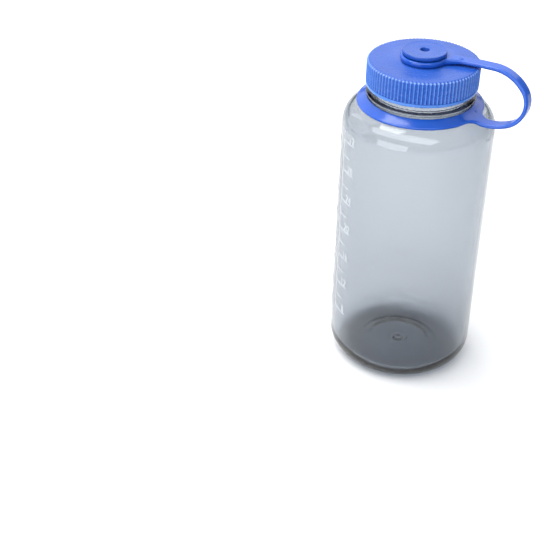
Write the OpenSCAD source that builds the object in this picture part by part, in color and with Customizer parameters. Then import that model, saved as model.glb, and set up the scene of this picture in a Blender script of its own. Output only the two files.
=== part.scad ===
// Wide-mouth water bottle, about one litre, with a ribbed screw cap on a flexible tether.
// Millimetres, +Z up. The origin is on the bottle's axis, on the surface it stands on,
// and +X points along the tether's loop.

/* [Bottle] */
// Outer radius of the bottle's wall
body_r = 45.5; // [44:0.5:48]
// Wall thickness of the bottle
wall = 2.2; // [1.8:0.1:2.6]
// Outer corner radius round the base
base_corner_r = 14.7; // [10:0.1:16]
// Height at which the wall ends and the shoulder begins
shoulder_z = 164.6; // [160:0.2:166]
// Radius of the shoulder's bend
shoulder_r = 14; // [12:0.5:15]
// Slope of the shoulder below the neck, in degrees
shoulder_slope = 30; // [28:1:32]

/* [Neck and threads] */
// Outer radius of the neck under the cap
neck_r = 30; // [29.8:0.1:30]
// Radius of the open mouth
mouth_r = 27.2; // [26.5:0.1:27.4]
// Height of the mouth's rim
rim_z = 202.4; // [201:0.1:203]
// Rise of the thread in one turn
pitch = 5; // [4.8:0.1:5.4]
// How far the thread stands out of the neck
thread_depth = 0.95; // [0.8:0.05:0.95]

/* [Cap] */
// Radius over the cap's ribs
cap_r = 33; // [33:0.1:34]
// Height of the cap's lower edge
cap_low_z = 189.6; // [189:0.1:190]
// Thickness of the cap's top
cap_top_t = 2.6; // [2.2:0.1:3]
// Number of ribs round the skirt
rib_count = 90; // [60:1:100]
// Depth of the ribs
rib_depth = 1; // [0.3:0.1:1]
// Radius of the button that holds the tether's hub
button_r = 13; // [12:0.5:14]
// Height of the button's top above the cap's top
button_h = 6.5; // [6:0.1:7]

/* [Tether] */
// Radius over the hub ring
hub_r = 14; // [13.5:0.5:15]
// Inner radius of the collar round the neck
collar_in_r = 31.4; // [31.3:0.1:31.6]
// Outer radius of the collar
collar_out_r = 37.6; // [36:0.1:38.5]
// Thickness of the collar
collar_t = 1.5; // [1.2:0.1:1.6]
// Width of the strap at the hub
strap_w_hub = 8; // [6:0.5:8.5]
// Width of the strap at the collar
strap_w_collar = 8.5; // [7:0.5:9]
// Thickness of the strap
strap_t = 2.4; // [2:0.1:2.6]
// Angle between each end of the strap and the loop's middle
strap_turn = 11; // [8:0.5:12]

/* [Printed scales] */
// Height of the 32 ounce tick
top_tick_z = 159.1; // [158:0.1:160]
// Height of one fluid ounce inside the bottle
ounce_h = 5.025; // [5:0.005:5.05]
// Thickness of the printed ink
ink_t = 0.12; // [0.1:0.01:0.2]
// Width of the printed lines
line_w = 0.55; // [0.4:0.05:0.7]
// Height of the printed numbers
digit_h = 4.6; // [4:0.1:5]

/* [Hidden] */
$fn = 96;

clear = "lightsteelblue";
blue = "royalblue";
ink = "white";
tiny = 0.02;

// Bottle: derived sizes
rest_r = body_r - base_corner_r;
shoulder_x = body_r - shoulder_r;
slope = tan(shoulder_slope);
line_r = shoulder_x + shoulder_r * sin(shoulder_slope);
line_z = shoulder_z + shoulder_r * cos(shoulder_slope);
neck_low_r = 31;
neck_low_z = line_z + (line_r - neck_low_r) * slope;
bead_r = 32.3;
bead_z = 183.6;
bead_h = 1.7;
in_r = body_r - wall;
in_corner_r = base_corner_r - wall;
floor_z = 4;
floor_crown_r = 20;
floor_crown_edge_z = floor_z + 1.8;
floor_crown_z = floor_z + 2.6;
push_up = 3.2;
gate_r = 5.8;
gate_step = 0.5;
dish_r = 19;
dish_drop = 1;
foot_w = 4;
bevel = 0.3;
rim_bevel = 0.5;

// Cap: derived sizes
cap_top_z = rim_z + cap_top_t;
cap_in_r = neck_r + thread_depth + 0.3;
seal_r = mouth_r - 0.4;
seal_t = 1.2;
seal_h = 2.4;
stem_r = 9.42;
stem_gap = 0.08;
hub_gap = 0.3;
hub_h = 3.3;
button_t = 2.3;
hub_z = cap_top_z + hub_gap;
button_low_z = cap_top_z + button_h - button_t;
button_edge = 0.5;
button_side_h = 0.4;
button_slope_w = 1.4;
eye_r = 2.7;
eye_floor_z = cap_top_z + 0.6;
band_h = 2;
band_edge = 0.8;
band_inset = 0.1;
cap_edge_r = 1.4;
// Where each rib begins and where its crest lies, as shares of one rib's step
rib_profile = [0, 0.16, 0.5, 0.66];

// Threads: the centre line climbs by pitch in each turn
thread_start_z = 191.2;
neck_turns = 1.5;
cap_turns = 1.25;
cap_thread_phase = 130;
cap_thread_drop = 1.9;
thread_steps = 30;
thread_root_half = 1.2;
thread_crest_half = 0.55;
sunk = 0.5;

// Strap: straight over the cap, then arcs [radius, angle turned] down to the collar's tab
tab_end_r = 22;
strap_z = hub_z + strap_t / 2 + 0.7;
strap_straight_r = 41;
strap_arcs = [[27, 47], [12, 113], [28.6, 28]];
strap_parts = 12;

// Collar: how far it clears the shoulder, and where its tab begins, ends and drops to
collar_gap = 0.1;
tab_root_r = 34.8;
collar_tab_r = 42;
tab_drop = 0.8;
// Left side of the collar's tab before its end: [distance from the axis along the tab, half width]
tab_flare = [[34, 14], [37.2, 7.5], [39, 5]];
// Corner where the hub's tab begins inside the ring: [distance along the tab, half width]
hub_tab_root = [8, 12];
strap_edge = 0.5;

// One arc of an outline, from angle a to angle b round the centre [x, y]
function arc(x, y, r, a, b, n = 8) =
    [for (i = [0:n]) [x + r * cos(a + (b - a) * i / n), y + r * sin(a + (b - a) * i / n)]];

// Outline of half the bottle: outside from base to rim, then inside back down
function bottle_outline() = concat(
    [[0, push_up], [gate_r, push_up], [gate_r + gate_step, push_up - gate_step]],
    [[dish_r, push_up - dish_drop], [rest_r - foot_w, 0]],
    arc(rest_r, base_corner_r, base_corner_r, -90, 0, 10),
    arc(shoulder_x, shoulder_z, shoulder_r, 0, 90 - shoulder_slope, 8),
    [[neck_low_r, neck_low_z], [neck_low_r, bead_z - bevel], [bead_r - bevel, bead_z]],
    [[bead_r, bead_z + bevel], [bead_r, bead_z + bead_h - bevel], [bead_r - bevel, bead_z + bead_h]],
    [[neck_r + bevel, bead_z + bead_h + bevel], [neck_r, bead_z + bead_h + 3 * bevel]],
    [[neck_r, rim_z - rim_bevel], [neck_r - rim_bevel, rim_z]],
    [[mouth_r + rim_bevel, rim_z], [mouth_r, rim_z - rim_bevel], [mouth_r, neck_low_z - bevel]],
    arc(shoulder_x, shoulder_z, shoulder_r - wall, 90 - shoulder_slope, 0, 8),
    arc(in_r - in_corner_r, floor_z + in_corner_r, in_corner_r, 0, -90, 8),
    [[floor_crown_r, floor_crown_edge_z], [0, floor_crown_z]]
);

// A screw ridge swept along a helix. Outward ridges have crest > root, inward ones crest < root.
module helical_ridge(root, crest, z0, start, turns) {
    n = ceil(thread_steps * turns);
    away = crest > root ? 1 : -1;
    points = [for (i = [0:n])
        let (a = start + 360 * turns * i / n,
             z = z0 + pitch * a / 360,
             fade = min(1, 0.25 + min(i, n - i) / 3),
             tip = root + (crest - root) * fade,
             foot = root - away * sunk)
        each [[foot * cos(a), foot * sin(a), z - thread_root_half],
              [tip * cos(a), tip * sin(a), z - thread_crest_half],
              [tip * cos(a), tip * sin(a), z + thread_crest_half],
              [foot * cos(a), foot * sin(a), z + thread_root_half]]];
    sides = [for (i = [0:n - 1], k = [0:3])
        let (p = 4 * i + k, q = 4 * i + (k + 1) % 4)
        each [[p, q, q + 4], [p, q + 4, p + 4]]];
    ends = [[3, 2, 1, 0], [4 * n, 4 * n + 1, 4 * n + 2, 4 * n + 3]];
    faces = concat(sides, ends);
    flipped = [for (f = faces) [for (k = [len(f) - 1:-1:0]) f[k]]];
    polyhedron(points, away > 0 ? faces : flipped);
}

module bottle_body() {
    color(clear, 0.5) {
        rotate_extrude() polygon(bottle_outline());
        helical_ridge(neck_r, neck_r + thread_depth, thread_start_z, 0, neck_turns);
    }
}

// Which of the seven strokes of a plain numeral each figure uses:
// top, upper left, upper right, middle, lower left, lower right, bottom
function strokes(n) = [
    [1, 1, 1, 0, 1, 1, 1], [0, 0, 1, 0, 0, 1, 0], [1, 0, 1, 1, 1, 0, 1], [1, 0, 1, 1, 0, 1, 1],
    [0, 1, 1, 1, 0, 1, 0], [1, 1, 0, 1, 0, 1, 1], [1, 1, 0, 1, 1, 1, 1], [1, 0, 1, 0, 0, 1, 0],
    [1, 1, 1, 1, 1, 1, 1], [1, 1, 1, 1, 0, 1, 1]][n];

// Stands a flat shape through the wall's surface at the given angle and height
module stamp(angle, z) {
    reach = 2;
    rotate([0, 0, angle]) translate([body_r - reach, 0, z])
        rotate([90, 0, 90]) linear_extrude(2 * reach) children();
}

// A printed line on the wall, from one angle to another, centred on height z
module line(from, to, z, height) {
    rotate([0, 0, from]) rotate_extrude(angle = to - from)
        translate([body_r + tiny, z - height / 2]) square([ink_t - tiny, height]);
}

// A plain numeral of seven strokes, standing on the line y = 0 and centred on x = 0
module numeral(n) {
    on = strokes(n);
    x = figure_w - line_w;
    y = (digit_h - line_w) / 2;
    // Middle of each stroke, and 1 where it is upright
    places = [[0, 2 * y, 0], [-x / 2, 1.5 * y, 1], [x / 2, 1.5 * y, 1], [0, y, 0],
              [-x / 2, 0.5 * y, 1], [x / 2, 0.5 * y, 1], [0, 0, 0]];
    translate([0, line_w / 2]) for (k = [0:6]) if (on[k])
        translate([places[k][0], places[k][1]])
            square(places[k][2] == 1 ? [line_w, y + line_w] : [x + line_w, line_w], center = true);
}

// A whole number, written to the right of the given angle
module number(value, angle, z) {
    figure_step = arc_angle(figure_w + figure_gap);
    figures = value > 99 ? [floor(value / 100), floor(value / 10) % 10, value % 10]
            : value > 9 ? [floor(value / 10), value % 10] : [value];
    for (i = [0:len(figures) - 1])
        stamp(angle + (i + 0.5) * figure_step, z) numeral(figures[i]);
}

// Keeps only the skin of ink that lies on the wall
module printed() {
    intersection() {
        rotate_extrude() translate([body_r + tiny, base_corner_r])
            square([ink_t - tiny, shoulder_z - base_corner_r]);
        union() children();
    }
}

// Angle that an arc of this length takes up on the wall
function arc_angle(length) = length / body_r * 180 / PI;

// The upright line that a scale's ticks stop just short of
module spine(angle, low, high) {
    half = arc_angle(line_w / 2);
    line(angle - half, angle + half, (low + high) / 2, high - low + line_w);
}

// Scales: angles in degrees round the wall
figure_w = digit_h * 0.5;
figure_gap = digit_h * 0.18;
number_rise = 1;
number_angle = 8;
single_figure_angle = 11;
spine_angle = -139;
ml_spine_angle = -147;
long_tick = 16;
short_tick = 10.5;
ounces_low = 8;
ounces_high = 32;
ml_high = 900;
ml_low = 200;
ml_h = ounce_h / 29.5735;
zero_z = top_tick_z - ounces_high * ounce_h;
tick_gap = arc_angle(line_w / 2 + tiny);

module ounce_scale() {
    color(ink) {
        spine(spine_angle, zero_z + ounces_low * ounce_h, top_tick_z);
        for (oz = [ounces_low:2:ounces_high])
            line(spine_angle + tick_gap, spine_angle + (oz % 4 == 0 ? long_tick : short_tick),
                zero_z + oz * ounce_h, line_w);
        printed() for (oz = [ounces_low:4:ounces_high])
            number(oz, spine_angle + (oz > 9 ? number_angle : single_figure_angle),
                zero_z + oz * ounce_h + number_rise);
    }
}

module millilitre_scale() {
    color(ink) {
        spine(ml_spine_angle, zero_z + ml_low * ml_h, zero_z + ml_high * ml_h);
        for (ml = [ml_low:50:ml_high])
            line(ml_spine_angle - (ml % 100 == 0 ? long_tick : short_tick), ml_spine_angle - tick_gap,
                zero_z + ml * ml_h, line_w);
        printed() for (ml = [ml_low:100:ml_high])
            number(ml, ml_spine_angle - long_tick, zero_z + ml * ml_h + number_rise);
    }
}

// Ribbed outline of the skirt: the ribs' feet are sunk below the round floor of the grooves
function rib_outline() = [for (i = [0:rib_count - 1], k = [0:3])
    let (a = 360 / rib_count * (i + rib_profile[k]),
         r = k == 0 || k == 3 ? cap_r - rib_depth - sunk / 2 : cap_r)
    [r * cos(a), r * sin(a)]];

module screw_cap() {
    skirt_z = cap_low_z + band_h;
    groove_r = cap_r - rib_depth;
    band_r = cap_r - band_inset;
    color(blue) {
        difference() {
            union() {
                translate([0, 0, skirt_z - sunk])
                    linear_extrude(cap_top_z - cap_edge_r - skirt_z + sunk) polygon(rib_outline());
                rotate_extrude() polygon(concat(
                    [[0, cap_low_z], [band_r - band_edge, cap_low_z], [band_r, cap_low_z + band_edge]],
                    [[band_r, skirt_z - bevel], [groove_r, skirt_z + bevel]],
                    arc(groove_r - cap_edge_r, cap_top_z - cap_edge_r, cap_edge_r, 0, 90, 4),
                    [[0, cap_top_z]]));
            }
            translate([0, 0, cap_low_z - 1])
                cylinder(r = cap_in_r, h = rim_z - cap_low_z + 1);
        }
        // Seal ring that drops into the mouth
        translate([0, 0, rim_z - seal_h]) difference() {
            cylinder(r = seal_r, h = seal_h + sunk);
            translate([0, 0, -1]) cylinder(r = seal_r - seal_t, h = seal_h + 1);
        }
        helical_ridge(cap_in_r, cap_in_r - thread_depth,
            thread_start_z - cap_thread_drop, cap_thread_phase, cap_turns);
        // Button: a stem through the hub ring and a flange over it
        difference() {
            union() {
                translate([0, 0, cap_top_z - sunk])
                    cylinder(r = stem_r, h = button_low_z - cap_top_z + 2 * sunk);
                rotate_extrude() polygon([[0, button_low_z], [button_r - button_edge, button_low_z],
                    [button_r, button_low_z + button_edge],
                    [button_r, button_low_z + button_edge + button_side_h],
                    [button_r - button_slope_w, button_low_z + button_t], [0, button_low_z + button_t]]);
            }
            translate([0, 0, eye_floor_z]) cylinder(r = eye_r, h = button_h);
        }
    }
}

// Height of the collar's underside at radius r
function seat_z(r) = neck_low_z + collar_gap - (r - neck_low_r) * slope;

// Plan of the collar's tab, whose sides curve in to the strap's width
function tab_plan() =
    let (half = concat(tab_flare, [[collar_tab_r, strap_w_collar / 2]]))
    concat(half, [for (k = [len(half) - 1:-1:0]) [half[k][0], -half[k][1]]]);

module tether_collar() {
    rise = collar_t / cos(shoulder_slope);
    edge = strap_edge;
    tab_z = seat_z(collar_out_r);
    past_r = 1.1 * collar_tab_r;
    color(blue) {
        rotate_extrude() polygon([
            [collar_in_r, seat_z(collar_in_r)],
            [collar_out_r, tab_z],
            [collar_out_r, tab_z + rise - 2 * edge * slope],
            [collar_out_r - edge, seat_z(collar_out_r - edge) + rise],
            [collar_in_r, seat_z(collar_in_r) + rise]]);
        rotate([0, 0, -strap_turn]) intersection() {
            translate([0, 0, tab_z - tab_drop])
                linear_extrude(tab_drop + strap_t + rise) polygon(tab_plan());
            rotate_extrude() polygon([
                [tab_root_r, seat_z(tab_root_r)],
                [collar_out_r, tab_z],
                [collar_tab_r - edge, tab_z - tab_drop],
                [past_r, tab_z - tab_drop],
                [past_r, tab_z - tab_drop + strap_t],
                [collar_tab_r - edge, tab_z - tab_drop + strap_t],
                [tab_root_r, seat_z(tab_root_r) + rise]]);
        }
    }
}

// Heading of the strap before arc k, in degrees below the horizontal
function heading(k) = k == 0 ? 0 : heading(k - 1) + strap_arcs[k - 1][1];

// Point [radius, height] where arc k begins
function arc_start(k) = k == 0 ? [strap_straight_r, strap_z]
    : let (p = arc_start(k - 1), r = strap_arcs[k - 1][0], a = heading(k - 1), b = heading(k))
      [p[0] + r * (sin(b) - sin(a)), p[1] - r * (cos(a) - cos(b))];

// Length of the strap before arc k
function run(k) = k == 0 ? strap_straight_r - tab_end_r
    : run(k - 1) + strap_arcs[k - 1][0] * strap_arcs[k - 1][1] * PI / 180;

// All stations of the strap's centre line: [radius, height, heading, share of its length]
function strap_line() = let (arcs = len(strap_arcs), whole = run(arcs), end = arc_start(arcs)) concat(
    [for (r = [tab_end_r:3.8:strap_straight_r - 1]) [r, strap_z, 0, (r - tab_end_r) / whole]],
    [for (k = [0:arcs - 1], i = [0:strap_parts - 1])
        let (p = arc_start(k), r = strap_arcs[k][0], a = heading(k),
             turned = strap_arcs[k][1] * i / strap_parts, b = a + turned)
        if (k == 1 || i % 2 == 0)
        [p[0] + r * (sin(b) - sin(a)), p[1] - r * (cos(a) - cos(b)), b,
         (run(k) + r * turned * PI / 180) / whole]],
    [[end[0], end[1], heading(arcs), 1]]
);

module tether_strap() {
    line = strap_line();
    n = len(line) - 1;
    edge = strap_edge;
    points = [for (s = line)
        let (t = s[3],
             side = strap_turn * (1 - 2 * t),
             half_w = (strap_w_hub * (1 - t) + strap_w_collar * t) / 2,
             half_t = strap_t / 2,
             out = [cos(side), sin(side), 0],
             across = [-sin(side), cos(side), 0],
             thick = out * sin(s[2]) + [0, 0, cos(s[2])],
             centre = out * s[0] + [0, 0, s[1]])
        each [for (c = [[half_w, half_t - edge], [half_w - edge, half_t], [edge - half_w, half_t],
                        [-half_w, half_t - edge], [-half_w, edge - half_t], [edge - half_w, -half_t],
                        [half_w - edge, -half_t], [half_w, edge - half_t]])
            centre + across * c[0] + thick * c[1]]];
    sides = [for (i = [0:n - 1], k = [0:7])
        let (p = 8 * i + k, q = 8 * i + (k + 1) % 8)
        each [[p, q + 8, q], [p, p + 8, q + 8]]];
    ends = [[for (k = [0:7]) k], [for (k = [7:-1:0]) 8 * n + k]];
    color(blue) polyhedron(points, concat(sides, ends));
}

module tether_hub() {
    half_w = strap_w_hub / 2;
    root = hub_tab_root;
    color(blue) difference() {
        union() {
            translate([0, 0, hub_z]) cylinder(r = hub_r, h = hub_h);
            rotate([0, 0, strap_turn]) translate([0, 0, hub_z]) linear_extrude(hub_h)
                polygon([[root[0], -root[1]], [tab_end_r, -half_w], [tab_end_r, half_w], root]);
        }
        translate([0, 0, hub_z - 1]) cylinder(r = stem_r + stem_gap, h = hub_h + 2);
    }
}

bottle_body();
ounce_scale();
millilitre_scale();
screw_cap();
tether_collar();
tether_strap();
tether_hub();
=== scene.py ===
"""Clear wide-mouth water bottle with printed scales and a ribbed screw cap on a flexible tether.

Shapes are worked out in millimetres, in the CAD model's own frame, and turned into metres when a mesh is
made. The bottle's axis is Z, and +X points along the middle of the tether's loop.
"""
import math

import bmesh
import bpy
import numpy as np
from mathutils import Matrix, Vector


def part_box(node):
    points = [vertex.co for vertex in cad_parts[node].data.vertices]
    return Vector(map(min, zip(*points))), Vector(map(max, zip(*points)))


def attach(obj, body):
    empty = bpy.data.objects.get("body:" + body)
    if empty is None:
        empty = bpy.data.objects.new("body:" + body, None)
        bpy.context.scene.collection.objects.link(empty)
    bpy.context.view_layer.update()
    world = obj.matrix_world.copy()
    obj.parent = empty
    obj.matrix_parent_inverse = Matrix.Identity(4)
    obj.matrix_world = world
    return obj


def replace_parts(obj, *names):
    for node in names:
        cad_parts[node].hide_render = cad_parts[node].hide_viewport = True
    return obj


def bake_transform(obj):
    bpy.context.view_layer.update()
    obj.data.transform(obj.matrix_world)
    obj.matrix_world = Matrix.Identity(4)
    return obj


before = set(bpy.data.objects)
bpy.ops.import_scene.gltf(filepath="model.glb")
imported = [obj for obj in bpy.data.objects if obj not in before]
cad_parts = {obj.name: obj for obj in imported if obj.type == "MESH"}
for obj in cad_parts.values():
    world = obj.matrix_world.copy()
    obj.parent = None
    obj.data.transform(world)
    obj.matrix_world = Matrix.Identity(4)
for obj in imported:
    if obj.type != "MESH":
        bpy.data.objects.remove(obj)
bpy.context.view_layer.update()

MM = 0.001


def mm_box(node):
    """Lowest and highest corners of a CAD node, in millimetres."""
    low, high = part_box(node)
    return np.array(low) / MM, np.array(high) / MM


bottle_high = mm_box("bottle_body")[1]
cap_low, cap_high = mm_box("screw_cap")
hub_low, hub_high = mm_box("tether_hub")


# ---------------------------------------------------------------- camera

def make_camera():
    """Looks down at the bottle from the -Y side, a little towards +X; the shifts set it off centre."""
    data = bpy.data.cameras.new("camera")
    camera = bpy.data.objects.new("camera", data)
    bpy.context.scene.collection.objects.link(camera)
    camera.location = (0.20241, -0.62295, 0.49171)
    camera.rotation_euler = [math.radians(a) for a in (55.73, 0.507, 28.34)]
    data.sensor_width = 36
    data.lens = 77.075
    data.shift_x = 0.1109
    data.shift_y = -0.0018
    bpy.context.scene.camera = camera


make_camera()


# ---------------------------------------------------------------- sizes in millimetres

# The main sizes are those of the CAD model. Edges, tabs and small steps are finer here.

BODY_R = 45.5
WALL = 2.2
BASE_CORNER_R = 14.7
SHOULDER_Z = 164.6
SHOULDER_R = 14.0
SHOULDER_SLOPE = math.radians(30)
NECK_LOW_R = 31.0
NECK_LOW_Z = 181.054
BEAD_R = 32.3
BEAD_Z = 183.6
BEAD_H = 1.7
NECK_R = 30.0
MOUTH_R = 27.2
RIM_Z = bottle_high[2]
REST_R = BODY_R - BASE_CORNER_R
SHOULDER_X = BODY_R - SHOULDER_R
FLOOR_Z = 4.0
PUSH_UP = 3.2
GATE_R = 5.8
PLATEAU_R = 19.0
FLOOR_CROWN = 2.6

PITCH = 5.0
THREAD_DEPTH = 0.95
THREAD_START_Z = 191.2
THREAD_ROOT_HALF = 1.2
THREAD_CREST_HALF = 0.55
THREAD_FADE = math.radians(30)
NECK_THREAD_TURNS = 1.5
CAP_THREAD_TURNS = 1.25
CAP_THREAD_FIRST = math.radians(130)
CAP_THREAD_START_Z = THREAD_START_Z - 1.9

CAP_R = 33.0
CAP_IN_R = 31.25
CAP_LOW_Z = cap_low[2]
CAP_TOP_Z = RIM_Z + 2.6
CAP_EDGE_R = 1.4
SEAL_R = 25.6
BAND_H = 2.0
RIB_COUNT = 90
RIB_DEPTH = 1.0
RIB_PHASE = 0.33
BUTTON_R = 13.0
BUTTON_TOP_Z = cap_high[2]
BUTTON_LOW_Z = 209.2
DISH_DROP = 0.1
STEM_R = 9.42
EYE_R = 2.7

HUB_R = 14.0
HUB_IN_R = 9.5
HUB_LOW_Z = hub_low[2]
HUB_TOP_Z = hub_high[2]
COLLAR_IN_R = 31.4
COLLAR_OUT_R = 37.6
COLLAR_T = 1.5
STRAP_T = 2.4
STRAP_W_HUB = 8.0
STRAP_W_COLLAR = 8.5
STRAP_TURN = math.radians(11)
STRAP_Z = 207.2
STRAP_STRAIGHT_R = 41.0
STRAP_ARCS = ((27.0, 47.0), (12.0, 113.0), (28.6, 28.0))
HUB_TAB_R = 22.0
HUB_TAB_ROOT_R = 14.5
HUB_FLARE_DEG = 29
HUB_FLARE_REACH = 2.5
HUB_TAB_SPREAD = 40
COLLAR_TAB_R = 42.0
COLLAR_TAB_ROOT_R = 34.8
COLLAR_FLARE_DEG = 17
COLLAR_FLARE_REACH = 3.0
COLLAR_TAB_SPREAD = 24


# ---------------------------------------------------------------- mesh helpers

def arc(cx, cz, radius, start, stop, steps):
    """Points of an outline round [cx, cz], from angle start to angle stop in degrees."""
    angles = [math.radians(start + (stop - start) * i / steps) for i in range(steps + 1)]
    return [(cx + radius * math.cos(a), cz + radius * math.sin(a)) for a in angles]


def spread(a, b, steps):
    """Points from a to b, without b."""
    return [(a[0] + (b[0] - a[0]) * i / steps, a[1] + (b[1] - a[1]) * i / steps) for i in range(steps)]


def new_object(name, points, faces, material, sharp=35):
    """A smooth-shaded mesh object from points in millimetres."""
    mesh = bpy.data.meshes.new(name)
    mesh.from_pydata([tuple(p) for p in np.asarray(points) * MM], [], faces)
    mesh.shade_smooth()
    mesh.set_sharp_from_angle(angle=math.radians(sharp))
    mesh.materials.append(material)
    piece = bpy.data.objects.new(name, mesh)
    bpy.context.scene.collection.objects.link(piece)
    return piece


def lathe(name, outline, material, segments, move=None, sharp=35):
    """Turns an outline round the axis. It starts and ends on the axis, and the solid is on its left.

    move(radius, z, angle) gives a new radius for each ring of points, as an array over the angles.
    """
    angles = np.arange(segments) * 2 * math.pi / segments
    points = [(0, 0, outline[0][1])]
    for radius, z in outline[1:-1]:
        radii = np.full(segments, float(radius)) if move is None else move(radius, z, angles)
        points += list(zip(radii * np.cos(angles), radii * np.sin(angles), np.full(segments, float(z))))
    points.append((0, 0, outline[-1][1]))
    rings = len(outline) - 2
    last = len(points) - 1
    faces = []
    for j in range(segments):
        k = (j + 1) % segments
        faces.append((0, 1 + k, 1 + j))
        for i in range(rings - 1):
            low = 1 + i * segments
            high = low + segments
            faces.append((low + j, low + k, high + k, high + j))
        top = 1 + (rings - 1) * segments
        faces.append((top + j, top + k, last))
    return new_object(name, points, faces, material, sharp)


def smooth_step(value):
    value = np.clip(value, 0, 1)
    return value * value * (3 - 2 * value)


def thread_height(z, angles, start_z, first, turns):
    """How far a right-hand thread stands out at height z, from 0 to 1, for each angle."""
    height = np.zeros_like(angles)
    for lap in range(-1, 3):
        along = angles + lap * 2 * math.pi
        stop = first + turns * 2 * math.pi
        inside = (along >= first) & (along <= stop)
        centre = start_z + PITCH * along / (2 * math.pi)
        flank = (THREAD_ROOT_HALF - np.abs(z - centre)) / (THREAD_ROOT_HALF - THREAD_CREST_HALF)
        fade = np.minimum(along - first, stop - along) / THREAD_FADE
        height = np.maximum(height, np.where(inside, smooth_step(flank) * smooth_step(fade), 0))
    return height


# ---------------------------------------------------------------- materials

class Nodes:
    """Builds one node material."""

    def __init__(self, name):
        self.material = bpy.data.materials.new(name)
        self.material.use_nodes = True
        self.tree = self.material.node_tree
        self.tree.nodes.clear()

    def add(self, kind, **settings):
        node = self.tree.nodes.new(kind)
        for key, value in settings.items():
            setattr(node, key, value)
        return node

    def link(self, source, target):
        self.tree.links.new(source, target)

    def noise(self, scale, detail=3.0, roughness=0.55, stretch=(1, 1, 1)):
        """Noise in object space; scale is in waves per metre."""
        place = self.add("ShaderNodeTexCoord")
        mapping = self.add("ShaderNodeMapping")
        mapping.inputs["Scale"].default_value = stretch
        noise = self.add("ShaderNodeTexNoise")
        noise.inputs["Scale"].default_value = scale
        noise.inputs["Detail"].default_value = detail
        noise.inputs["Roughness"].default_value = roughness
        self.link(place.outputs["Object"], mapping.inputs["Vector"])
        self.link(mapping.outputs["Vector"], noise.inputs["Vector"])
        return noise.outputs["Fac"]

    def ramp(self, value, low, high, start=0.3, stop=0.7):
        """Maps a value onto the range low to high."""
        node = self.add("ShaderNodeMapRange")
        node.inputs["From Min"].default_value = start
        node.inputs["From Max"].default_value = stop
        node.inputs["To Min"].default_value = low
        node.inputs["To Max"].default_value = high
        self.link(value, node.inputs["Value"])
        return node.outputs["Result"]

    def mix(self, value, first, second):
        """Colour between first and second."""
        node = self.add("ShaderNodeMix", data_type="RGBA")
        node.inputs["A"].default_value = (*first, 1)
        node.inputs["B"].default_value = (*second, 1)
        self.link(value, node.inputs["Factor"])
        return node.outputs["Result"]

    def blend(self, value, first, second):
        """From one node's colour to a fixed one."""
        node = self.add("ShaderNodeMix", data_type="RGBA")
        self.link(first, node.inputs["A"])
        node.inputs["B"].default_value = (*second, 1)
        self.link(value, node.inputs["Factor"])
        return node.outputs["Result"]

    def calculate(self, operation, first, second):
        node = self.add("ShaderNodeMath", operation=operation)
        self.link(first, node.inputs[0])
        self.link(second, node.inputs[1])
        return node.outputs["Value"]

    def height(self):
        """Height above the surface that the bottle stands on, in metres."""
        place = self.add("ShaderNodeTexCoord")
        parts = self.add("ShaderNodeSeparateXYZ")
        self.link(place.outputs["Object"], parts.inputs["Vector"])
        return parts.outputs["Z"]

    def distance(self, value, centre):
        """How far a value is from a fixed one."""
        away = self.add("ShaderNodeMath", operation="SUBTRACT")
        away.inputs[1].default_value = centre
        size = self.add("ShaderNodeMath", operation="ABSOLUTE")
        self.link(value, away.inputs[0])
        self.link(away.outputs["Value"], size.inputs[0])
        return size.outputs["Value"]

    def from_axis(self):
        """Distance from the bottle's axis, in metres."""
        place = self.add("ShaderNodeTexCoord")
        flat = self.add("ShaderNodeVectorMath", operation="MULTIPLY")
        flat.inputs[1].default_value = (1, 1, 0)
        length = self.add("ShaderNodeVectorMath", operation="LENGTH")
        self.link(place.outputs["Object"], flat.inputs[0])
        self.link(flat.outputs["Vector"], length.inputs[0])
        return length.outputs["Value"]

    def bump(self, value, distance):
        node = self.add("ShaderNodeBump")
        node.inputs["Distance"].default_value = distance
        self.link(value, node.inputs["Height"])
        return node.outputs["Normal"]


def trapped_light(made):
    """1 where the neck's colour is painted dark, as painted shade for light that the glass traps: along the
    bead's edges, and at a slant above the bead.
    """
    height = made.height()
    line_core = 0.25 * MM
    line_end = 0.55 * MM
    lines = [made.ramp(made.distance(height, edge * MM), 1, 0, line_core, line_end)
             for edge in (BEAD_Z, BEAD_Z + BEAD_H)]
    slant = made.add("ShaderNodeLayerWeight")
    above = made.ramp(height, 0, 1, (BEAD_Z + 1) * MM, (BEAD_Z + 2) * MM)
    slanted = made.ramp(slant.outputs["Facing"], 0, 1, 0.45, 0.8)
    wedge = made.calculate("MULTIPLY", slanted, above)
    return made.calculate("MAXIMUM", made.calculate("MAXIMUM", *lines), wedge)


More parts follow.
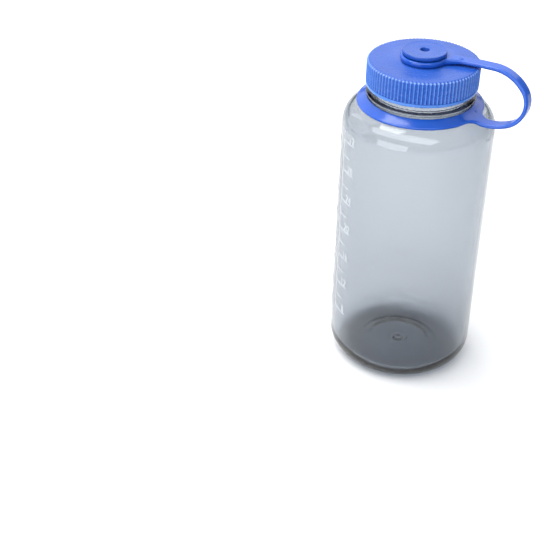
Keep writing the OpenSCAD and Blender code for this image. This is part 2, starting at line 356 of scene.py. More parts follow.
def clear_plastic():
    """Grey-tinted clear copolyester: the tint is in its thickness, and its skin has faint rub marks. At the
    neck its colour is painted dark, as painted shade.
    """
    made = Nodes("clear_plastic")
    shader = made.add("ShaderNodeBsdfPrincipled")
    # Base colour painted dark where the neck-shade mask is 1: painted shade at the bead and on the slanted
    # neck wall.
    made.link(made.mix(trapped_light(made), (1, 1, 1), (0.04, 0.045, 0.08)), shader.inputs["Base Color"])
    shader.inputs["Transmission Weight"].default_value = 1
    shader.inputs["IOR"].default_value = 1.5
    rubs = made.noise(90, detail=5, stretch=(1, 1, 4))
    made.link(made.ramp(rubs, 0.0, 0.03, 0.5, 0.75), shader.inputs["Roughness"])
    ripple = made.noise(14, detail=0)
    made.link(made.bump(ripple, 0.0002), shader.inputs["Normal"])
    open_light = made.add("ShaderNodeBsdfTransparent")
    open_light.inputs["Color"].default_value = (0.76, 0.79, 0.82, 1)
    path = made.add("ShaderNodeLightPath")
    either = made.add("ShaderNodeMixShader")
    made.link(path.outputs["Is Shadow Ray"], either.inputs["Fac"])
    made.link(shader.outputs["BSDF"], either.inputs[1])
    made.link(open_light.outputs["BSDF"], either.inputs[2])
    tint = made.add("ShaderNodeVolumeAbsorption")
    tint.inputs["Color"].default_value = (0.30, 0.36, 0.43, 1)
    tint.inputs["Density"].default_value = 308
    output = made.add("ShaderNodeOutputMaterial")
    made.link(either.outputs["Shader"], output.inputs["Surface"])
    made.link(tint.outputs["Volume"], output.inputs["Volume"])
    return made.material


def finish_opaque(made, shader):
    output = made.add("ShaderNodeOutputMaterial")
    made.link(shader.outputs["BSDF"], output.inputs["Surface"])
    return made.material


def printed_ink():
    """White screen-printed ink, a little uneven in colour and thickness."""
    made = Nodes("printed_ink")
    shader = made.add("ShaderNodeBsdfPrincipled")
    grain = made.noise(1800, detail=4)
    made.link(made.mix(made.ramp(grain, 0, 1), (0.50, 0.52, 0.55), (0.62, 0.64, 0.67)),
              shader.inputs["Base Color"])
    made.link(made.ramp(grain, 0.45, 0.65), shader.inputs["Roughness"])
    made.link(made.bump(grain, 0.00002), shader.inputs["Normal"])
    return finish_opaque(made, shader)


def cap_plastic():
    """Blue polypropylene, satin as moulded, with a fine sparked grain and faint rub marks in its roughness.
    Its rib crests and rib tops are painted paler, as painted highlight.
    """
    made = Nodes("cap_plastic")
    shader = made.add("ShaderNodeBsdfPrincipled")
    shader.inputs["IOR"].default_value = 1.49
    shader.inputs["Specular IOR Level"].default_value = 0.4
    cloud = made.noise(60, detail=3)
    deep = made.mix(made.ramp(cloud, 0, 1), (0.012, 0.072, 0.37), (0.018, 0.086, 0.43))
    radius = made.from_axis()
    # Rib crests painted paler than the grooves, by distance from the axis: painted highlight on the crests
    # and painted shade in the grooves.
    painted_crest_highlight = made.ramp(radius, 0, 1, (CAP_R - 0.8 * RIB_DEPTH) * MM, CAP_R * MM)
    # Rib tops just under the cap's top edge painted pale: painted glints.
    painted_rib_glint = made.calculate("MULTIPLY", made.ramp(radius, 0, 1, (CAP_R - 1.3) * MM, (CAP_R - 0.75) * MM),
                              made.ramp(made.height(), 0, 1, (CAP_TOP_Z - 1.3) * MM, (CAP_TOP_Z - 0.6) * MM))
    crest_highlighted_colour = made.blend(painted_crest_highlight, deep, (0.07, 0.22, 0.66))
    made.link(made.blend(painted_rib_glint, crest_highlighted_colour, (0.20, 0.34, 0.76)), shader.inputs["Base Color"])
    rubs = made.noise(220, detail=6, roughness=0.65)
    made.link(made.ramp(rubs, 0.22, 0.32), shader.inputs["Roughness"])
    grain = made.noise(900, detail=2)
    made.link(made.bump(grain, 0.0000025), shader.inputs["Normal"])
    return finish_opaque(made, shader)


def tether_plastic():
    """Softer blue polymer: light soaks into it a little, so that its edges look paler."""
    made = Nodes("tether_plastic")
    shader = made.add("ShaderNodeBsdfPrincipled")
    shader.inputs["IOR"].default_value = 1.49
    shader.inputs["Subsurface Weight"].default_value = 0.15
    shader.inputs["Subsurface Radius"].default_value = (0.2, 0.4, 1.0)
    shader.inputs["Subsurface Scale"].default_value = 0.002
    cloud = made.noise(80, detail=3)
    made.link(made.mix(made.ramp(cloud, 0, 1), (0.008, 0.075, 0.43), (0.012, 0.09, 0.49)),
              shader.inputs["Base Color"])
    rubs = made.noise(260, detail=5)
    made.link(made.ramp(rubs, 0.13, 0.21), shader.inputs["Roughness"])
    grain = made.noise(1800, detail=1)
    made.link(made.bump(grain, 0.000004), shader.inputs["Normal"])
    return finish_opaque(made, shader)


def pale_floor():
    """Matt white paper."""
    made = Nodes("pale_floor")
    shader = made.add("ShaderNodeBsdfPrincipled")
    grain = made.noise(400, detail=3)
    made.link(made.mix(made.ramp(grain, 0, 1), (0.93, 0.93, 0.93), (0.95, 0.95, 0.95)),
              shader.inputs["Base Color"])
    shader.inputs["Roughness"].default_value = 0.9
    shader.inputs["Specular IOR Level"].default_value = 0.2
    return finish_opaque(made, shader)


CLEAR = clear_plastic()
INK = printed_ink()
CAP_BLUE = cap_plastic()
TETHER_BLUE = tether_plastic()
FLOOR_WHITE = pale_floor()


# ---------------------------------------------------------------- bottle

def bottle_outline():
    """From the middle of the base round the outside to the rim, and back down the inside."""
    in_corner_r = BASE_CORNER_R - WALL
    in_corner_x = BODY_R - WALL - in_corner_r
    slope_deg = 90 - math.degrees(SHOULDER_SLOPE)
    bead_top = BEAD_Z + BEAD_H
    thread_low = THREAD_START_Z - 2
    outline = [(0, PUSH_UP), (1.2, PUSH_UP), (1.6, PUSH_UP - 0.35), (2.4, PUSH_UP - 0.35), (2.8, PUSH_UP)]
    outline += [(GATE_R, PUSH_UP), (GATE_R + 0.3, PUSH_UP - 0.45)]
    outline += spread((GATE_R + 0.8, PUSH_UP - 0.5), (PLATEAU_R, PUSH_UP - 1), 6)
    outline += [(PLATEAU_R, PUSH_UP - 1), (PLATEAU_R + 0.6, PUSH_UP - 1.35), (PLATEAU_R + 2.5, 1.55)]
    outline += [(PLATEAU_R + 5, 0.85), (REST_R - 4.6, 0.12)]
    outline += [(REST_R - 4, 0)]
    outline += arc(REST_R, BASE_CORNER_R, BASE_CORNER_R, -90, 0, 28)
    outline += spread((BODY_R, BASE_CORNER_R + 3), (BODY_R, SHOULDER_Z), 24)
    outline += arc(SHOULDER_X, SHOULDER_Z, SHOULDER_R, 0, slope_deg, 22)
    outline += [(NECK_LOW_R + 3.5, NECK_LOW_Z - 3.5 * math.tan(SHOULDER_SLOPE))]
    outline += [(NECK_LOW_R + 0.5, NECK_LOW_Z - 0.29), (NECK_LOW_R + 0.12, NECK_LOW_Z - 0.02)]
    outline += [(NECK_LOW_R, NECK_LOW_Z + 0.3), (NECK_LOW_R, BEAD_Z - 0.5)]
    outline += [(NECK_LOW_R + 0.15, BEAD_Z - 0.12), (NECK_LOW_R + 0.5, BEAD_Z), (BEAD_R - 0.4, BEAD_Z)]
    outline += arc(BEAD_R - 0.4, BEAD_Z + 0.4, 0.4, -90, 0, 4)[1:]
    outline += arc(BEAD_R - 0.4, bead_top - 0.4, 0.4, 0, 90, 4)
    outline += [(NECK_R + 0.9, bead_top + 0.05), (NECK_R + 0.35, bead_top + 0.3), (NECK_R, bead_top + 1)]
    outline += spread((NECK_R, thread_low), (NECK_R, RIM_Z - 0.6), 34)
    outline += [(NECK_R, RIM_Z - 0.6)] + arc(NECK_R - 0.6, RIM_Z - 0.6, 0.6, 30, 90, 3)
    outline += [(MOUTH_R + 0.5, RIM_Z), (MOUTH_R + 0.15, RIM_Z - 0.15), (MOUTH_R, RIM_Z - 0.5)]
    outline += spread((MOUTH_R, RIM_Z - 3), (MOUTH_R, NECK_LOW_Z + 1.2), 6)
    outline += [(MOUTH_R + 0.05, NECK_LOW_Z + 0.6), (MOUTH_R + 0.5, NECK_LOW_Z - 0.35)]
    outline += arc(SHOULDER_X, SHOULDER_Z, SHOULDER_R - WALL, slope_deg, 0, 22)
    outline += spread((BODY_R - WALL, SHOULDER_Z - 3), (BODY_R - WALL, FLOOR_Z + in_corner_r), 24)
    outline += arc(in_corner_x, FLOOR_Z + in_corner_r, in_corner_r, 0, -90, 28)
    outline += [(PLATEAU_R + 7, FLOOR_Z + 0.35), (PLATEAU_R + 3, FLOOR_Z + 1.2)]
    outline += [(PLATEAU_R + 0.5, FLOOR_Z + 1.75), (PLATEAU_R - 0.5, FLOOR_Z + 1.8)]
    crown_top = FLOOR_Z + FLOOR_CROWN
    outline += spread((PLATEAU_R - 2, FLOOR_Z + 1.85), (3, crown_top - 0.05), 6)
    return outline + [(3, crown_top - 0.05), (0, crown_top)]


def neck_thread(radius, z, angles):
    """Raises the screw thread on the neck's outer face."""
    if abs(radius - NECK_R) > 0.01:
        return np.full_like(angles, radius)
    return radius + THREAD_DEPTH * thread_height(z, angles, THREAD_START_Z, 0, NECK_THREAD_TURNS)


def make_bottle():
    bottle = lathe("bottle", bottle_outline(), CLEAR, 192, neck_thread, sharp=50)
    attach(bottle, "bottle")
    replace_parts(bottle, "bottle_body")


# ---------------------------------------------------------------- printed scales

TOP_TICK_Z = 159.1
OUNCE_H = 5.025
FIRST_OUNCES = 8
LAST_OUNCES = 32
ML_PER_OUNCE = 29.5735
ML_H = OUNCE_H / ML_PER_OUNCE
FIRST_ML = 200
LAST_ML = 900
ZERO_Z = TOP_TICK_Z - LAST_OUNCES * OUNCE_H
LINE_W = 0.55
DIGIT_H = 4.6
INK_LOW_R = BODY_R + 0.02
INK_HIGH_R = BODY_R + 0.12
LONG_TICK = 16.0
SHORT_TICK = 10.5
OUNCE_SPINE = -139.0
ML_SPINE = -147.0


class Print:
    """Collects thin ink shapes that lie on the wall. Places are [angle in degrees, height in mm]."""

    def __init__(self):
        self.points = []
        self.faces = []

    def ribbon(self, rows):
        """A closed strip of ink. Each row is a pair of places, one on each edge."""
        base = len(self.points)
        for pair in rows:
            for radius in (INK_LOW_R, INK_HIGH_R):
                for angle, z in pair:
                    a = math.radians(angle)
                    self.points.append((radius * math.cos(a), radius * math.sin(a), z))
        for i in range(len(rows) - 1):
            p = base + 4 * i
            q = p + 4
            self.faces += [(p, q, q + 1, p + 1), (p + 2, p + 3, q + 3, q + 2)]
            self.faces += [(p, p + 2, q + 2, q), (p + 1, q + 1, q + 3, p + 3)]
        last = base + 4 * (len(rows) - 1)
        self.faces += [(base, base + 1, base + 3, base + 2), (last, last + 2, last + 3, last + 1)]

    def line(self, start, stop, z, height=LINE_W):
        """An upright-edged line round the wall."""
        steps = max(1, int(abs(stop - start) / 2))
        angles = [start + (stop - start) * i / steps for i in range(steps + 1)]
        self.ribbon([((a, z + height / 2), (a, z - height / 2)) for a in angles])

    def stroke(self, path, width):
        """A stroke of even width along a path of [distance round the wall in mm, height] points."""
        per_mm = 180 / math.pi / BODY_R
        path = np.array(path)
        steps = np.gradient(path, axis=0)
        side = np.stack([-steps[:, 1], steps[:, 0]], axis=1)
        side /= np.linalg.norm(side, axis=1)[:, None]
        rows = []
        for point, across in zip(path, side * width / 2):
            a, b = point + across, point - across
            rows.append(((a[0] * per_mm, a[1]), (b[0] * per_mm, b[1])))
        self.ribbon(rows)

    def make(self, name):
        piece = new_object(name, self.points, self.faces, INK, sharp=30)
        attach(piece, "bottle")
        return piece


def turn(cx, cy, rx, ry, start, stop, steps=10):
    """Part of an ellipse, in shares of a figure's width and height."""
    angles = [math.radians(start + (stop - start) * i / steps) for i in range(steps + 1)]
    return [(cx + rx * math.cos(a), cy + ry * math.sin(a)) for a in angles]


# Plain rounded figures, drawn as strokes in a box one wide and one high
FIGURES = {
    0: [turn(0.5, 0.5, 0.42, 0.46, 90, 449, 20)],
    1: [[(0.28, 0.80), (0.42, 0.86), (0.55, 0.98)], [(0.55, 0.96), (0.55, 0.5), (0.55, 0.0)]],
    2: [turn(0.5, 0.72, 0.38, 0.26, 165, -20) + [(0.70, 0.45), (0.40, 0.22), (0.12, 0.05)],
        [(0.08, 0.04), (0.5, 0.04), (0.92, 0.04)]],
    3: [turn(0.46, 0.74, 0.36, 0.23, 150, -90), turn(0.46, 0.27, 0.42, 0.25, 90, -150)],
    4: [[(0.70, 0.0), (0.70, 0.5), (0.70, 0.98)], [(0.66, 0.96), (0.35, 0.60), (0.06, 0.28)],
        [(0.04, 0.26), (0.5, 0.26), (0.96, 0.26)]],
    5: [[(0.84, 0.96), (0.55, 0.96), (0.20, 0.96)], [(0.20, 0.98), (0.17, 0.78), (0.14, 0.56)],
        turn(0.46, 0.32, 0.42, 0.29, 135, -150)],
    6: [turn(0.5, 0.29, 0.40, 0.27, 0, 359, 18), turn(0.86, 0.34, 0.75, 0.62, 110, 185)],
    7: [[(0.08, 0.96), (0.5, 0.96), (0.92, 0.96)], [(0.90, 0.94), (0.62, 0.50), (0.36, 0.0)]],
    8: [turn(0.5, 0.74, 0.34, 0.23, 0, 359, 18), turn(0.5, 0.26, 0.42, 0.26, 0, 359, 18)],
    9: [turn(0.5, 0.71, 0.40, 0.27, 0, 359, 18), turn(0.14, 0.66, 0.75, 0.62, -70, 5)],
}


def write_number(ink, value, angle, z):
    """A number that starts at the given angle and stands on height z."""
    width = DIGIT_H * 0.5
    step = DIGIT_H * 0.68
    start = math.radians(angle) * BODY_R + (step - width) / 2
    for i, figure in enumerate(str(value)):
        for path in FIGURES[int(figure)]:
            ink.stroke([(start + i * step + x * width, z + y * DIGIT_H) for x, y in path], LINE_W)


def make_ounce_scale():
    ink = Print()
    half = math.degrees(LINE_W / 2 / BODY_R)
    low = ZERO_Z + FIRST_OUNCES * OUNCE_H
    ink.line(OUNCE_SPINE - half, OUNCE_SPINE + half, (low + TOP_TICK_Z) / 2, TOP_TICK_Z - low + LINE_W)
    for ounces in range(FIRST_OUNCES, LAST_OUNCES + 1, 2):
        z = ZERO_Z + ounces * OUNCE_H
        long_one = ounces % 4 == 0
        ink.line(OUNCE_SPINE + half, OUNCE_SPINE + (LONG_TICK if long_one else SHORT_TICK), z)
        if long_one:
            gap = 8 if ounces > 9 else 11
            write_number(ink, ounces, OUNCE_SPINE + gap, z + 1)
    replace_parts(ink.make("ounce_print"), "ounce_scale")


def make_millilitre_scale():
    ink = Print()
    half = math.degrees(LINE_W / 2 / BODY_R)
    low, high = ZERO_Z + FIRST_ML * ML_H, ZERO_Z + LAST_ML * ML_H
    ink.line(ML_SPINE - half, ML_SPINE + half, (low + high) / 2, high - low + LINE_W)
    for millilitres in range(FIRST_ML, LAST_ML + 1, 50):
        z = ZERO_Z + millilitres * ML_H
        long_one = millilitres % 100 == 0
        ink.line(ML_SPINE - (LONG_TICK if long_one else SHORT_TICK), ML_SPINE - half, z)
        if long_one:
            write_number(ink, millilitres, ML_SPINE - LONG_TICK, z + 1)
    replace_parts(ink.make("millilitre_print"), "millilitre_scale")


# ---------------------------------------------------------------- cap

def cap_outline():
    """From the middle of the underside round the skirt and over the top to the button's eye."""
    groove_r = CAP_R - RIB_DEPTH
    band_top = CAP_LOW_Z + BAND_H
    plug_r = MOUTH_R - 0.4
    dish_z = BUTTON_TOP_Z - DISH_DROP
    outline = [(0, RIM_Z), (12, RIM_Z), (SEAL_R - 0.3, RIM_Z), (SEAL_R, RIM_Z - 0.3), (SEAL_R, RIM_Z - 2)]
    outline += arc(SEAL_R + 0.4, RIM_Z - 2, 0.4, 180, 270, 3)[1:]
    outline += [(SEAL_R + 0.7, RIM_Z - 2.4), (plug_r, RIM_Z - 1.8), (plug_r, RIM_Z - 0.3)]
    outline += [(plug_r + 0.3, RIM_Z), (CAP_IN_R - 0.6, RIM_Z), (CAP_IN_R, RIM_Z - 0.6)]
    outline += spread((CAP_IN_R, RIM_Z - 1.5), (CAP_IN_R, CAP_LOW_Z + 0.5), 28)
    outline += [(CAP_IN_R, CAP_LOW_Z + 0.5), (CAP_IN_R + 0.3, CAP_LOW_Z), (CAP_R - 1, CAP_LOW_Z)]
    outline += arc(CAP_R - 0.9, CAP_LOW_Z + 0.8, 0.8, -70, 0, 5)
    outline += [(CAP_R - 0.1, band_top - 0.35), (CAP_R - 0.14, band_top - 0.15), (CAP_R - 0.3, band_top)]
    outline += [(groove_r + 0.1, band_top + 0.12), (groove_r, band_top + 0.35)]
    outline += spread((groove_r, band_top + 0.8), (groove_r, CAP_TOP_Z - CAP_EDGE_R), 8)
    outline += arc(groove_r - CAP_EDGE_R, CAP_TOP_Z - CAP_EDGE_R, CAP_EDGE_R, 0, 90, 8)
    outline += [(groove_r - CAP_EDGE_R - 0.5, CAP_TOP_Z), (24, CAP_TOP_Z), (STEM_R + 0.3, CAP_TOP_Z)]
    outline += [(STEM_R, CAP_TOP_Z + 0.3), (STEM_R, BUTTON_LOW_Z - 0.3), (STEM_R + 0.3, BUTTON_LOW_Z)]
    outline += [(BUTTON_R - 0.7, BUTTON_LOW_Z)] + arc(BUTTON_R - 0.6, BUTTON_LOW_Z + 0.6, 0.6, -90, 0, 4)
    outline += arc(BUTTON_R - 0.45, BUTTON_TOP_Z - 0.45, 0.45, 0, 80, 4)
    outline += [(BUTTON_R - 0.8, BUTTON_TOP_Z), (BUTTON_R - 1.1, dish_z), (8, dish_z), (EYE_R + 0.5, dish_z)]
    outline += [(EYE_R + 0.15, BUTTON_TOP_Z - 0.2), (EYE_R, BUTTON_TOP_Z - 0.5)]
    outline += [(EYE_R, CAP_TOP_Z + 0.9), (EYE_R - 0.3, CAP_TOP_Z + 0.6), (0, CAP_TOP_Z + 0.6)]
    return outline


def cap_surface(radius, z, angles):
    """Raises the ribs of the skirt and, inside, the screw thread."""
    groove_r = CAP_R - RIB_DEPTH
    rib_low = CAP_LOW_Z + BAND_H + 0.3
    if abs(radius - CAP_IN_R) < 0.01:
        thread = thread_height(z, angles, CAP_THREAD_START_Z, CAP_THREAD_FIRST, CAP_THREAD_TURNS)
        return radius - THREAD_DEPTH * thread
    if z < rib_low or z > CAP_TOP_Z - 0.05 or radius < groove_r - 1.3:
        return np.full_like(angles, radius)
    wave = np.cos(angles * RIB_COUNT - 2 * math.pi * RIB_PHASE)
    over_edge = math.sqrt(max(0, 1 - max(0, (z - CAP_TOP_Z + CAP_EDGE_R) / CAP_EDGE_R) ** 2))
    return radius + RIB_DEPTH * over_edge * (0.5 + 0.5 * wave) ** 1.6


def make_cap():
    cap = lathe("cap", cap_outline(), CAP_BLUE, 720, cap_surface, sharp=60)
    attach(cap, "cap")
    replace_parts(cap, "screw_cap")


# ---------------------------------------------------------------- tether

EDGE = 1.0
ACROSS_STEPS = 8
OUT_STEPS = 8
FLARE_STEPS = 10
ROUND_STEPS = 90


def edge_rows(height):
    """A moulding's rounded side, from top to bottom: [distance in from it, height above the middle]."""
    top = height / 2
    drop = min(EDGE, 0.45 * height)
    near = 1 - math.sqrt(0.5)
    upper = [(EDGE, top), (EDGE * near, top - drop * near), (0, top - drop)]
    return upper + [(0, 0)] + [(inset, -z) for inset, z in reversed(upper)]


def strap_line():
    """The strap's centre line from the hub to the collar: [radius, height, heading in radians]."""
    line = [(r, STRAP_Z, 0.0) for r in np.linspace(HUB_TAB_R, STRAP_STRAIGHT_R, 8)[:-1]]
    r, z, heading = STRAP_STRAIGHT_R, STRAP_Z, 0.0
    for radius, degrees in STRAP_ARCS:
        turned = math.radians(degrees)
        steps = max(5, round(radius * turned))
        for i in range(steps):
            h = heading + turned * i / steps
            line.append((r + radius * (math.sin(h) - math.sin(heading)),
                         z - radius * (math.cos(heading) - math.cos(h)), h))
        r += radius * (math.sin(heading + turned) - math.sin(heading))
        z -= radius * (math.cos(heading) - math.cos(heading + turned))
        heading += turned
    return line + [(r, z, heading)]


STRAP_LINE = strap_line()


def strap_section(centre, across, thick, width):
    """Points round the strap: its top from left to right, its right side, its bottom and its left side."""
    half = width / 2
    rows = edge_rows(STRAP_T)
    flat = [(half - EDGE) * (1 - 2 * i / ACROSS_STEPS) for i in range(ACROSS_STEPS + 1)]
    loop = [centre + across * x + thick * STRAP_T / 2 for x in flat]
    loop += [centre - across * (half - inset) + thick * z for inset, z in rows[1:-1]]
    loop += [centre - across * x - thick * STRAP_T / 2 for x in flat]
    loop += [centre + across * (half - inset) + thick * z for inset, z in reversed(rows[1:-1])]
    return loop


def flare(ring_r, meet_degrees, tab_r, half_w, reach):
    """The left side of a tab in plan, from the corner of its end to the ring: [point, outward normal]."""
    a = math.radians(meet_degrees)
    along_ring = np.array((-math.sin(a), math.cos(a)))
    end = np.array((tab_r, half_w))
    meet = ring_r * np.array((math.cos(a), math.sin(a)))
    knots = (end, end - np.array((reach, 0)), meet - along_ring * reach, meet)
    side = []
    for i in range(FLARE_STEPS + 1):
        t = i / FLARE_STEPS
        s = 1 - t
        shares = (s ** 3, 3 * s * s * t, 3 * s * t * t, t ** 3)
        slopes = (s * s, 2 * s * t, t * t)
        point = sum(share * knot for share, knot in zip(shares, knots))
        run = sum(slope * (b - a) for slope, a, b in zip(slopes, knots, knots[1:]))
        run /= np.linalg.norm(run)
        side.append((point, np.array((run[1], -run[0]))))
    return side


class Tether:
    """One moulding: a washer at each end, whose tab runs on into the strap."""

    def __init__(self):
        self.points = []
        self.faces = []

    def add(self, points):
        first = len(self.points)
        self.points += [tuple(p) for p in points]
        return list(range(first, len(self.points)))

    def washer(self, in_r, ring_r, azimuth, side, half_w, top_z, low_z):
        """A washer whose tab ends open. Returns its columns of points and the places in them of the side.

        side is the flare on the tab's left. top_z and low_z give the height of the two faces at a radius
        and an angle from the tab's middle.
        """
        tab_r = side[0][0][0]
        flat = [(half_w - EDGE) * (1 - 2 * i / ACROSS_STEPS) for i in range(1, ACROSS_STEPS)]
        stops = [(np.array((tab_r, y)), None) for y in reversed(flat)] + side
        meet = math.atan2(side[-1][0][1], side[-1][0][0])
        for i in range(1, ROUND_STEPS):
            a = meet + (2 * math.pi - 2 * meet) * i / ROUND_STEPS
            spoke = np.array((math.cos(a), math.sin(a)))
            stops.append((ring_r * spoke, spoke))
        flip = np.array((1, -1))
        stops += [(point * flip, normal * flip) for point, normal in reversed(side)]
        c, s = math.cos(azimuth), math.sin(azimuth)
        columns = []
        for point, normal in stops:
            out = point / np.linalg.norm(point)
            spot = abs(math.degrees(math.atan2(point[1], point[0])))
            rim = point if normal is None else point - normal * EDGE
            rim_r = np.linalg.norm(rim)
            start = out * (in_r + EDGE / 2)
            run = [start + (rim - start) * i / OUT_STEPS for i in range(OUT_STEPS + 1)]
            high, low = top_z(rim_r, spot), low_z(rim_r, spot)
            column = [(*q, top_z(np.linalg.norm(q), spot)) for q in run]
            for inset, z in edge_rows(high - low)[1:-1]:
                q = rim if normal is None else point - normal * inset
                column.append((*q, (high + low) / 2 + z))
            column += [(*q, low_z(np.linalg.norm(q), spot)) for q in reversed(run)]
            bore = out * in_r
            column += [(*bore, low_z(in_r, spot) + EDGE / 2), (*bore, top_z(in_r, spot) - EDGE / 2)]
            columns.append(self.add([(c * x - s * y, s * x + c * y, z) for x, y, z in column]))
        first, last = OUT_STEPS, OUT_STEPS + len(edge_rows(1)) - 1
        size = len(columns[0])
        for j, here in enumerate(columns):
            there = columns[(j + 1) % len(columns)]
            at_end = j < ACROSS_STEPS - 1 or j == len(columns) - 1
            for i in range(size):
                if not (at_end and first <= i < last):
                    m = (i + 1) % size
                    self.faces.append((here[i], here[m], there[m], there[i]))
        return columns, first, last

    @staticmethod
    def opening(columns, first, last, upside_down):
        """The points round a washer's open tab, in the order of strap_section."""
        tab = [columns[-1]] + columns[:ACROSS_STEPS - 1] + [columns[ACROSS_STEPS - 1]]
        right, left = tab[0], tab[-1]
        if upside_down:
            loop = [column[last] for column in reversed(tab)] + right[last - 1:first:-1]
            return loop + [column[first] for column in tab] + left[first + 1:last]
        loop = [column[first] for column in reversed(tab)] + right[first + 1:last]
        return loop + [column[last] for column in tab] + left[last - 1:first:-1]

    def bridge(self, here, there):
        size = len(here)
        for i in range(size):
            m = (i + 1) % size
            self.faces.append((here[i], here[m], there[m], there[i]))

    def strap(self, start, stop):
        """Sweeps the strap between the two open tabs."""
        lengths = [0.0]
        for (r0, z0, _), (r1, z1, _) in zip(STRAP_LINE, STRAP_LINE[1:]):
            lengths.append(lengths[-1] + math.hypot(r1 - r0, z1 - z0))
        loop = start
        for (r, z, heading), length in list(zip(STRAP_LINE, lengths))[1:]:
            share = length / lengths[-1]
            side = STRAP_TURN * (1 - 2 * share)
            out = np.array((math.cos(side), math.sin(side), 0))
            across = np.array((-math.sin(side), math.cos(side), 0))
            up = np.array((0, 0, 1))
            thick = out * math.sin(heading) + up * math.cos(heading)
            width = STRAP_W_HUB + (STRAP_W_COLLAR - STRAP_W_HUB) * share
            following = self.add(strap_section(out * r + up * z, across, thick, width))
            self.bridge(loop, following)
            loop = following
        self.bridge(loop, stop)

    def drop_unused(self):
        used = sorted({i for face in self.faces for i in face})
        place = {old: new for new, old in enumerate(used)}
        self.points = [self.points[i] for i in used]
        self.faces = [tuple(place[i] for i in face) for face in self.faces]


def tab_face(ring_face, root_r, end_r, end_z, wide_deg):
    """A face that follows ring_face(radius), and in the tab runs on from root_r to end_z at end_r.

    The tab reaches wide_deg to each side of its middle, and fades into the ring there.
    """
    def height(radius, spot):
        if radius <= root_r:
            return ring_face(radius)
        tab = ring_face(root_r) + (end_z - ring_face(root_r)) * (radius - root_r) / (end_r - root_r)
        share = float(smooth_step((wide_deg - spot) / (wide_deg * 0.6)))
        return ring_face(radius) * (1 - share) + tab * share
    return height


def collar_underside(radius):
    return NECK_LOW_Z + 0.1 - (radius - NECK_LOW_R) * math.tan(SHOULDER_SLOPE)


def collar_topside(radius):
    return collar_underside(radius) + COLLAR_T / math.cos(SHOULDER_SLOPE)


def make_tether():
    tether = Tether()
    half_hub, half_collar = STRAP_W_HUB / 2, STRAP_W_COLLAR / 2
    hub_side = flare(HUB_R, HUB_FLARE_DEG, HUB_TAB_R, half_hub, HUB_FLARE_REACH)
    collar_side = flare(COLLAR_OUT_R, COLLAR_FLARE_DEG, COLLAR_TAB_R, half_collar, COLLAR_FLARE_REACH)
    hub = tether.washer(
        HUB_IN_R, HUB_R, STRAP_TURN, hub_side, half_hub,
        tab_face(lambda radius: HUB_TOP_Z, HUB_TAB_ROOT_R, HUB_TAB_R, STRAP_Z + STRAP_T / 2, HUB_TAB_SPREAD),
        tab_face(lambda radius: HUB_LOW_Z, HUB_TAB_ROOT_R, HUB_TAB_R, STRAP_Z - STRAP_T / 2, HUB_TAB_SPREAD))
    last_r, last_z, last_heading = STRAP_LINE[-1]
    end_z = last_z + (last_r - COLLAR_TAB_R) * math.tan(last_heading - math.pi)
    collar = tether.washer(
        COLLAR_IN_R, COLLAR_OUT_R, -STRAP_TURN, collar_side, half_collar,
        tab_face(collar_topside, COLLAR_TAB_ROOT_R, COLLAR_TAB_R, end_z + STRAP_T / 2, COLLAR_TAB_SPREAD),
        tab_face(collar_underside, COLLAR_TAB_ROOT_R, COLLAR_TAB_R, end_z - STRAP_T / 2, COLLAR_TAB_SPREAD))
    tether.strap(tether.opening(*hub, upside_down=False), tether.opening(*collar, upside_down=True))
    tether.drop_unused()
    piece = new_object("tether", tether.points, tether.faces, TETHER_BLUE, sharp=50)
    face_outwards(piece)
    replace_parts(piece, "tether_collar", "tether_strap", "tether_hub")
    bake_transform(piece)


def face_outwards(piece):
    """Turns every face of a closed mesh to look outwards."""
    work = bmesh.new()
    work.from_mesh(piece.data)
    bmesh.ops.recalc_face_normals(work, faces=work.faces)
    work.to_mesh(piece.data)
    work.free()
    piece.data.shade_smooth()
    piece.data.set_sharp_from_angle(angle=math.radians(50))


def mould_mark(name, outline, body, radius, degrees, seat, tilt):
    """A small round mark that the tether's mould left, on a face at the given place and tilt."""
    azimuth = math.radians(degrees)
    mark = lathe(name, outline, TETHER_BLUE, 28)
    mark.location = (radius * math.cos(azimuth) * MM, radius * math.sin(azimuth) * MM, seat * MM)
    mark.rotation_euler = (0, tilt, azimuth)
    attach(mark, body)


def make_mould_marks():
    nub_r = 34.8
    nub = [(0, -0.4), (0.9, -0.4), (0.9, 0.12), (0.75, 0.3), (0.45, 0.36), (0.2, 0.26), (0, 0.24)]
    mould_mark("collar_gate_nub", nub, "bottle", nub_r, -4.1, collar_topside(nub_r), SHOULDER_SLOPE)
    ring = [(0, -0.4), (1.35, -0.4), (1.35, 0.1), (1.2, 0.25), (1.0, 0.22), (0.8, 0.06), (0, 0.04)]
    mould_mark("hub_pin_mark", ring, "hub", 21.2, 9.5, STRAP_Z + STRAP_T / 2, 0)


# ---------------------------------------------------------------- floor and light

def make_floor():
    """A square sheet just below the bottle; half is half its side, in metres."""
    half = 0.7
    mesh = bpy.data.meshes.new("floor")
    corners = [(-half, -half, 0), (half, -half, 0), (half, half, 0), (-half, half, 0)]
    mesh.from_pydata(corners, [], [(0, 1, 2, 3)])
    mesh.materials.append(FLOOR_WHITE)
    floor = bpy.data.objects.new("floor", mesh)
    floor.location.z = -0.0002
    bpy.context.scene.collection.objects.link(floor)


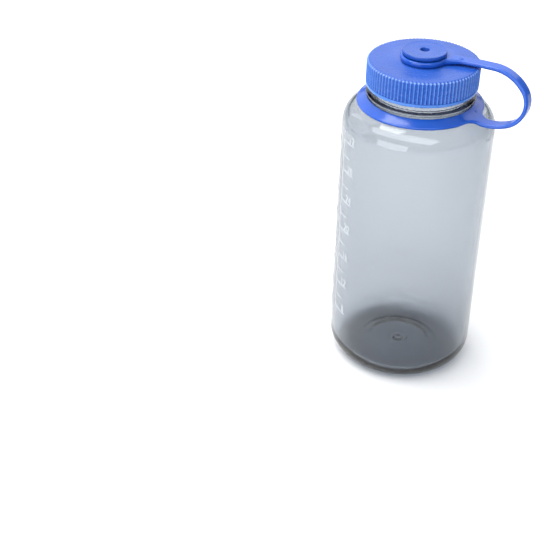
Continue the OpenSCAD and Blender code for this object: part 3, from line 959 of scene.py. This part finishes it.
def softbox(name, azimuth, elevation, distance, size, brightness):
    """A rectangular area light that faces the bottle. Angles are in degrees, distance and size in metres."""
    a, e = math.radians(azimuth), math.radians(elevation)
    data = bpy.data.lights.new(name, "AREA")
    data.shape = "RECTANGLE"
    data.size, data.size_y = size
    data.energy = brightness * math.pi * size[0] * size[1]
    light = bpy.data.objects.new(name, data)
    bpy.context.scene.collection.objects.link(light)
    away = np.array((math.cos(e) * math.cos(a), math.cos(e) * math.sin(a), math.sin(e)))
    light.location = away * distance + np.array((0, 0, 0.1))
    light.rotation_euler = (math.radians(90) - e, 0, a + math.radians(90))
    light.visible_camera = False


def make_lights():
    softbox("front_softbox", -99, 62, 1.1, (1.8, 0.55), 3.3)
    softbox("low_softbox", -106, 13, 1.1, (0.9, 0.5), 3.2)
    softbox("rear_left_softbox", 162, 72, 1.1, (0.7, 0.42), 7.0)
    softbox("back_softbox", 119, 38, 1.5, (2.6, 1.6), 1.1)
    softbox("left_softbox", -178, 20, 1.2, (1.0, 0.9), 1.1)


def make_room():
    """Pale light from all round, weaker low down. It is white to the camera and below the horizon."""
    world = bpy.data.worlds.new("room")
    bpy.context.scene.world = world
    world.use_nodes = True
    room = world.node_tree
    background = room.nodes["Background"]
    background.inputs["Color"].default_value = (0.93, 0.96, 1.0, 1)
    direction = room.nodes.new("ShaderNodeTexCoord")
    parts = room.nodes.new("ShaderNodeSeparateXYZ")
    height = room.nodes.new("ShaderNodeMapRange")
    height.inputs["From Max"].default_value = 0.7
    height.inputs["To Min"].default_value = 0.10
    height.inputs["To Max"].default_value = 0.55
    room.links.new(direction.outputs["Generated"], parts.inputs["Vector"])
    room.links.new(parts.outputs["Z"], height.inputs["Value"])
    beyond_floor = room.nodes.new("ShaderNodeMath")
    beyond_floor.operation = "LESS_THAN"
    beyond_floor.inputs[1].default_value = 0
    path = room.nodes.new("ShaderNodeLightPath")
    pale = room.nodes.new("ShaderNodeMath")
    pale.operation = "MAXIMUM"
    strength = room.nodes.new("ShaderNodeMath")
    strength.operation = "ADD"
    room.links.new(parts.outputs["Z"], beyond_floor.inputs[0])
    room.links.new(beyond_floor.outputs["Value"], pale.inputs[0])
    room.links.new(path.outputs["Is Camera Ray"], pale.inputs[1])
    room.links.new(height.outputs["Result"], strength.inputs[0])
    room.links.new(pale.outputs["Value"], strength.inputs[1])
    room.links.new(strength.outputs["Value"], background.inputs["Strength"])


make_bottle()
make_ounce_scale()
make_millilitre_scale()
make_cap()
make_tether()
make_mould_marks()
make_floor()
make_lights()
make_room()
bpy.context.scene.view_settings.view_transform = "Standard"
